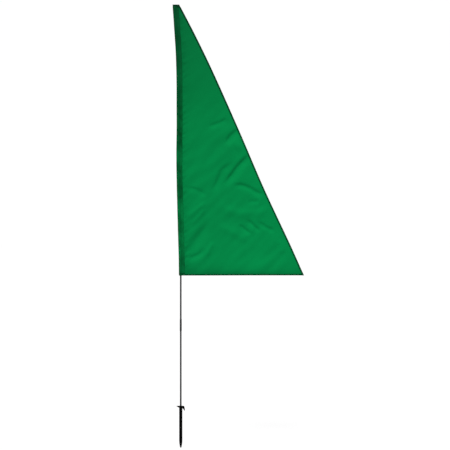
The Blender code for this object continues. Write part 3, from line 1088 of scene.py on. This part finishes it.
def turn(name, rings, sides, finish, hollow=False):
    # a round piece, drawn out from a circle through rings of (radius, height). A hollow one's
    # rings run round its wall and come back to the first.
    deselectAll()
    rings = [*rings, rings[0]] if hollow else rings
    radius, height = rings[0]
    size = {"vertices": sides, "radius": radius, "location": (0, 0, height)}
    bpy.ops.mesh.primitive_circle_add(**size, fill_type="NOTHING" if hollow else "NGON")
    piece = bpy.context.object
    bpy.ops.object.transform_apply(location=True, rotation=True, scale=True)
    bpy.ops.object.mode_set(mode="EDIT")
    bpy.ops.mesh.select_all(action="SELECT")
    for nextRadius, nextHeight in rings[1:]:
        bpy.ops.mesh.extrude_region_move(TRANSFORM_OT_translate={"value": (0, 0, nextHeight - height)})
        grow = nextRadius / radius
        bpy.ops.transform.resize(value=(grow, grow, 1), center_override=(0, 0, nextHeight))
        radius, height = nextRadius, nextHeight
    bpy.ops.mesh.select_all(action="SELECT")
    bpy.ops.mesh.remove_doubles(threshold=0.000002)
    bpy.ops.mesh.normals_make_consistent(inside=False)
    bpy.ops.object.mode_set(mode="OBJECT")
    piece.name = piece.data.name = name
    piece.data.materials.append(finish)
    return piece


def smoothBySharpness(piece):
    choose(piece)
    bpy.ops.object.shade_smooth_by_angle(angle=math.radians(35))


def followPole(piece):
    # bent as the flag's sleeve holds the pole
    for vert in piece.data.vertices:
        vert.co.x += poleX(vert.co.z)


# Stake: one moulding, with a socket in its head, a spur on one side and a hook on the other
stake = {
    "radius": 0.0089,
    "rim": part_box("ground_stake")[1].z,
    "tip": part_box("ground_stake")[0].z,
    "socket": 0.0051,  # radius
    "socketDepth": 0.1435,
    # radii of the point, and their heights over the tip
    "point": (
        (0.0019, 0.0), (0.0026, 0.0003), (0.0042, 0.0040), (0.00625, 0.0135),
        (0.0076, 0.0225), (0.00834, 0.0295), (0.0088, 0.0370), (0.0089, 0.0410),
    ),
    "straight": (-0.12, -0.07, -0.02),
    "sides": 96,
    "rimEase": 0.0008,  # how far the socket's mouth opens out
    "partingLine": 0.00015,
    "armThick": 0.007,
    "armEdge": 0.0009,
    # each arm's sections: upper side, lower side, share of its thickness
    "hook": (
        ((0.0070, 0.0279), (0.0070, 0.0147), 1.0),
        ((0.0120, 0.0279), (0.0104, 0.0146), 1.0),
        ((0.0168, 0.0279), (0.0120, 0.0126), 1.0),
        ((0.0192, 0.0266), (0.0132, 0.0112), 1.0),
        ((0.0212, 0.0190), (0.0149, 0.0093), 0.98),
        ((0.0228, 0.0115), (0.0166, 0.0074), 0.94),
        ((0.0230, 0.0055), (0.0185, 0.0043), 0.86),
        ((0.0222, 0.0010), (0.0200, 0.0010), 0.74),
    ),
    "spur": (
        ((-0.0070, 0.0279), (-0.0070, 0.0167), 1.0),
        ((-0.0100, 0.0279), (-0.0100, 0.0176), 1.0),
        ((-0.0160, 0.0279), (-0.0160, 0.0213), 0.96),
        ((-0.0215, 0.0278), (-0.0215, 0.0246), 0.86),
        ((-0.0242, 0.0276), (-0.0242, 0.0260), 0.70),
    ),
}


def shiftSide(arm, side, before, after):
    # moves one side of the arm's end, and leaves the end selected
    shape = bmesh.from_edit_mesh(arm.data)
    shape.verts.ensure_lookup_table()
    end = [vert.index for vert in shape.verts if vert.select]
    bpy.ops.mesh.select_all(action="DESELECT")
    for index in side:
        shape.verts[index].select = True
    shape.select_flush_mode()
    bpy.ops.transform.translate(value=(after[0] - before[0], 0, after[1] - before[1]))
    shape = bmesh.from_edit_mesh(arm.data)
    shape.verts.ensure_lookup_table()
    for index in end:
        shape.verts[index].select = True
    shape.select_flush(True)


def growArm(sections):
    # a bar drawn out through its sections
    (upX, upZ), (_, downZ), _ = sections[0]
    place = (upX, 0, (upZ + downZ) / 2)
    deselectAll()
    bpy.ops.mesh.primitive_plane_add(size=1, location=place, rotation=(0, math.pi / 2, 0))
    arm = bpy.context.object
    arm.scale = (upZ - downZ, stake["armThick"], 1)
    bpy.ops.object.transform_apply(location=True, rotation=True, scale=True)
    bpy.ops.object.mode_set(mode="EDIT")
    bpy.ops.mesh.select_mode(type="VERT")
    bpy.ops.mesh.select_all(action="SELECT")
    for before, after in zip(sections, sections[1:]):
        bpy.ops.mesh.extrude_region_move(TRANSFORM_OT_translate={"value": (0, 0, 0)})
        shape = bmesh.from_edit_mesh(arm.data)
        shape.verts.index_update()
        middle = (before[0][1] + before[1][1]) / 2
        end = [vert for vert in shape.verts if vert.select]
        upper = [vert.index for vert in end if vert.co.z > middle]
        lower = [vert.index for vert in end if vert.co.z <= middle]
        shiftSide(arm, upper, before[0], after[0])
        shiftSide(arm, lower, before[1], after[1])
        bpy.ops.transform.resize(value=(1, after[2] / before[2], 1), center_override=(0, 0, 0))
    bpy.ops.mesh.select_all(action="SELECT")
    bpy.ops.mesh.normals_make_consistent(inside=False)
    bpy.ops.object.mode_set(mode="OBJECT")
    edge = arm.modifiers.new("edge", "BEVEL")
    edge.width = stake["armEdge"]
    edge.segments = 3
    edge.angle_limit = math.radians(50)
    applyModifiers(arm)
    return arm


def addPartingLine(piece):
    # the moulding's two halves meet in a fine raised line down each side
    choose(piece)
    bpy.ops.object.mode_set(mode="EDIT")
    bpy.ops.mesh.select_mode(type="FACE")
    bpy.ops.mesh.select_all(action="DESELECT")
    shape = bmesh.from_edit_mesh(piece.data)
    for face in shape.faces:
        middle = face.calc_center_median()
        outer = abs(middle.x) > stake["socket"] * 1.2 and abs(face.normal.z) < 0.5
        face.select = outer and abs(middle.y) < 0.0003
    bmesh.update_edit_mesh(piece.data)
    bpy.ops.mesh.extrude_region_shrink_fatten(TRANSFORM_OT_shrink_fatten={"value": stake["partingLine"]})
    bpy.ops.object.mode_set(mode="OBJECT")


def makeStake():
    radius, socket, rim, ease = stake["radius"], stake["socket"], stake["rim"], stake["rimEase"]
    rings = [(r, stake["tip"] + h) for r, h in stake["point"]]
    rings += [(radius, z) for z in stake["straight"]]
    rings += [(radius, rim - 0.0008), (radius - 0.0002, rim - 0.0003), (radius - 0.0007, rim)]
    rings += [(socket + ease, rim), (socket, rim - ease), (socket, rim - stake["socketDepth"])]
    piece = turn("stake_moulded", rings, stake["sides"], stakePlastic)
    half = Matrix.Rotation(math.pi / stake["sides"], 3, "Z")
    for vert in piece.data.vertices:  # so that a face, not an edge, faces each side
        vert.co = half @ vert.co
    addPartingLine(piece)
    for sections in (stake["hook"], stake["spur"]):
        arm = growArm(sections)
        union = piece.modifiers.new("union", "BOOLEAN")
        union.operation = "UNION"
        union.solver = "EXACT"
        union.object = arm
        applyModifiers(piece)
        bpy.data.objects.remove(arm)
    smoothBySharpness(piece)
    return finishPiece(piece, "stake", "stake_plastic", "ground_stake")


# Pole: equal fibreglass tubes with eased ends
pole = {
    "radius": 0.00475,
    "bore": 0.0031,
    "edge": 0.0004,
    "sides": 40,
    "step": 0.018,
}


def makeSection(number):
    node = f"pole_section_{number}"
    low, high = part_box(node)[0].z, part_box(node)[1].z
    radius, bore, edge = pole["radius"], pole["bore"], pole["edge"]
    # the lowest one is straight, so it needs rings at its ends only
    rows = spread(low + edge, high - edge, pole["step"]) if number > 1 else [low + edge, high - edge]
    wall = [(radius, z) for z in rows]
    rings = [(bore, low), (radius - edge, low), *wall, (radius - edge, high), (bore, high)]
    rings += [(bore, z) for z in reversed(rows[1:-1])]
    piece = turn(f"pole_tube_{number}", rings, pole["sides"], fibreglass, hollow=True)
    followPole(piece)
    smoothBySharpness(piece)
    return finishPiece(piece, f"section_{number}", "fibreglass", node)


# Ferrules: short metal tubes with rolled ends and a crimped groove near each
ferrule = {
    "outer": 0.0057,
    "inner": 0.0051,
    "roll": 0.0004,
    "groove": 0.0003,
    "grooveAt": 0.0055,  # from each end
    "grooveWidth": 0.0022,
    "sides": 40,
}


def makeFerrule(number):
    node = f"ferrule_{number}"
    low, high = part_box(node)[0].z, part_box(node)[1].z
    outer, inner, roll = ferrule["outer"], ferrule["inner"], ferrule["roll"]
    deep, at, wide = ferrule["groove"], ferrule["grooveAt"], ferrule["grooveWidth"]
    lower = [
        (inner + 0.0001, low),
        (outer - 0.00015, low),
        (outer + 0.0001, low + roll * 0.5),
        (outer + 0.0001, low + roll * 1.6),
        (outer, low + roll * 2.6),
        (outer, low + at),
        (outer - deep, low + at + wide * 0.3),
        (outer - deep, low + at + wide * 0.7),
        (outer, low + at + wide),
    ]
    middle = [(outer, z) for z in spread(low + at + wide, high - at - wide, 0.012)[1:-1]]
    upper = [(r, low + high - z) for r, z in reversed(lower)]
    inside = [(inner, z) for z in reversed(spread(low + 0.0006, high - 0.0006, 0.02))]
    rings = [*lower, *middle, *upper, *inside]
    piece = turn(f"ferrule_tube_{number}", rings, ferrule["sides"], ferruleMetal, hollow=True)
    followPole(piece)
    smoothBySharpness(piece)
    return finishPiece(piece, f"section_{number}", "ferrule", node)


makeStake()
for number in (1, 2, 3, 4):
    makeSection(number)
for number in (1, 2, 3):
    makeFerrule(number)
print("stake, pole and ferrules made")

# The caps at the pole's ends keep the frame's own shapes
for name in ("pole_butt_cap", "pole_tip_cap"):
    slots = nodes[name].data.materials
    if slots:
        for i in range(len(slots)):
            slots[i] = capPlastic
    else:
        slots.append(capPlastic)
